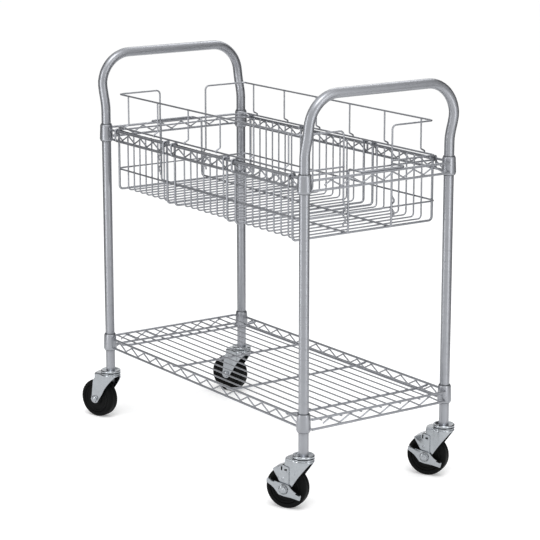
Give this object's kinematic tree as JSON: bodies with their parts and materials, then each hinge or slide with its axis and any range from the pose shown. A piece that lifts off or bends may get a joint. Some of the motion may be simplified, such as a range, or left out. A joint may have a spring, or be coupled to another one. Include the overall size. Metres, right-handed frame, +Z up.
{
  "type": "mobile file cart",
  "caption": "Wheeled wire cart that carries hanging files in a basket with side rails, over a wire shelf, between bent tube handles on swivel casters with side-lock brakes.",
  "frame": {"origin": "on the floor, midway between the four posts", "axes": "+X along the cart towards the end with the brakes, +Y across it towards the far side, +Z up"},
  "size_m": [0.9967, 0.5255, 0.982],
  "materials": {
    "silver_paint": "satin silver-grey metallic powder coat",
    "zinc": "bright zinc plate on pressed steel",
    "rubber": "matt black moulded rubber",
    "hub_plastic": "satin black moulded plastic",
    "sleeve_plastic": "grey moulded plastic"
  },
  "bodies": {
    "root": {"left_handle_tube": "silver_paint", "right_handle_tube": "silver_paint", "lower_wire_shelf": "silver_paint", "upper_left_end_truss": "silver_paint", "upper_right_end_truss": "silver_paint", "upper_near_side_truss": "silver_paint", "upper_far_side_truss": "silver_paint", "basket_bay_1": "silver_paint", "basket_bay_2": "silver_paint", "basket_bay_3": "silver_paint", "basket_cradle": "silver_paint", "basket_ring": "silver_paint", "file_rail_near": "silver_paint", "file_rail_far": "silver_paint", "file_rail_base_near": "silver_paint", "file_rail_base_far": "silver_paint", "lower_sleeve_near_left": "sleeve_plastic", "lower_sleeve_near_right": "sleeve_plastic", "lower_sleeve_far_left": "sleeve_plastic", "lower_sleeve_far_right": "sleeve_plastic", "upper_sleeve_near_left": "sleeve_plastic", "upper_sleeve_near_right": "sleeve_plastic", "upper_sleeve_far_left": "sleeve_plastic", "upper_sleeve_far_right": "sleeve_plastic", "caster_stem_near_left": "zinc", "stem_socket_near_left": "sleeve_plastic", "caster_stem_near_right": "zinc", "stem_socket_near_right": "sleeve_plastic", "caster_stem_far_left": "zinc", "stem_socket_far_left": "sleeve_plastic", "caster_stem_far_right": "zinc", "stem_socket_far_right": "sleeve_plastic"},
    "caster_near_left": {"caster_fork_near_left": "zinc", "axle_bolt_near_left": "zinc", "axle_nut_near_left": "zinc"},
    "wheel_near_left": {"wheel_core_near_left": "hub_plastic", "tyre_near_left": "rubber"},
    "caster_near_right": {"caster_fork_near_right": "zinc", "axle_bolt_near_right": "zinc", "axle_nut_near_right": "zinc"},
    "wheel_near_right": {"wheel_core_near_right": "hub_plastic", "tyre_near_right": "rubber"},
    "lever_near_right": {"brake_lever_near_right": "zinc"},
    "shoe_near_right": {"brake_shoe_near_right": "zinc"},
    "caster_far_left": {"caster_fork_far_left": "zinc", "axle_bolt_far_left": "zinc", "axle_nut_far_left": "zinc"},
    "wheel_far_left": {"wheel_core_far_left": "hub_plastic", "tyre_far_left": "rubber"},
    "caster_far_right": {"caster_fork_far_right": "zinc", "axle_bolt_far_right": "zinc", "axle_nut_far_right": "zinc"},
    "wheel_far_right": {"wheel_core_far_right": "hub_plastic", "tyre_far_right": "rubber"},
    "lever_far_right": {"brake_lever_far_right": "zinc"},
    "shoe_far_right": {"brake_shoe_far_right": "zinc"}
  },
  "joints": [
    {"name": "swivel_near_left", "type": "hinge", "parent": "root", "child": "caster_near_left", "pos_m": [-0.438, -0.2095, 0.12287], "axis": [0, 0, 1], "continuous": true},
    {"name": "wheel_spin_near_left", "type": "hinge", "parent": "caster_near_left", "child": "wheel_near_left", "pos_m": [-0.47441, -0.22348, 0.05037], "axis": [0.3584, -0.9336, 0], "continuous": true},
    {"name": "swivel_near_right", "type": "hinge", "parent": "root", "child": "caster_near_right", "pos_m": [0.438, -0.2095, 0.12287], "axis": [0, 0, 1], "continuous": true},
    {"name": "wheel_spin_near_right", "type": "hinge", "parent": "caster_near_right", "child": "wheel_near_right", "pos_m": [0.40423, -0.229, 0.05037], "axis": [0.5, -0.866, 0], "continuous": true},
    {"name": "brake_lever_near_right", "type": "hinge", "parent": "caster_near_right", "child": "lever_near_right", "pos_m": [0.40423, -0.229, 0.05037], "axis": [0.5, -0.866, 0], "range_deg": [0, 28]},
    {"name": "brake_shoe_near_right", "type": "hinge", "parent": "caster_near_right", "child": "shoe_near_right", "pos_m": [0.41063, -0.2253, 0.09796], "axis": [0.5, -0.866, 0], "range_deg": [0, 3]},
    {"name": "swivel_far_left", "type": "hinge", "parent": "root", "child": "caster_far_left", "pos_m": [-0.438, 0.2095, 0.12287], "axis": [0, 0, 1], "continuous": true},
    {"name": "wheel_spin_far_left", "type": "hinge", "parent": "caster_far_left", "child": "wheel_far_left", "pos_m": [-0.47441, 0.19552, 0.05037], "axis": [0.3584, -0.9336, 0], "continuous": true},
    {"name": "swivel_far_right", "type": "hinge", "parent": "root", "child": "caster_far_right", "pos_m": [0.438, 0.2095, 0.12287], "axis": [0, 0, 1], "continuous": true},
    {"name": "wheel_spin_far_right", "type": "hinge", "parent": "caster_far_right", "child": "wheel_far_right", "pos_m": [0.40423, 0.19, 0.05037], "axis": [0.5, -0.866, 0], "continuous": true},
    {"name": "brake_lever_far_right", "type": "hinge", "parent": "caster_far_right", "child": "lever_far_right", "pos_m": [0.40423, 0.19, 0.05037], "axis": [0.5, -0.866, 0], "range_deg": [0, 28]},
    {"name": "brake_shoe_far_right", "type": "hinge", "parent": "caster_far_right", "child": "shoe_far_right", "pos_m": [0.41063, 0.1937, 0.09796], "axis": [0.5, -0.866, 0], "range_deg": [0, 3]}
  ],
  "couplings": [
    {"joint": "brake_shoe_near_right", "follows": "brake_lever_near_right", "ratio": 0.107},
    {"joint": "brake_shoe_far_right", "follows": "brake_lever_far_right", "ratio": 0.107}
  ]
}
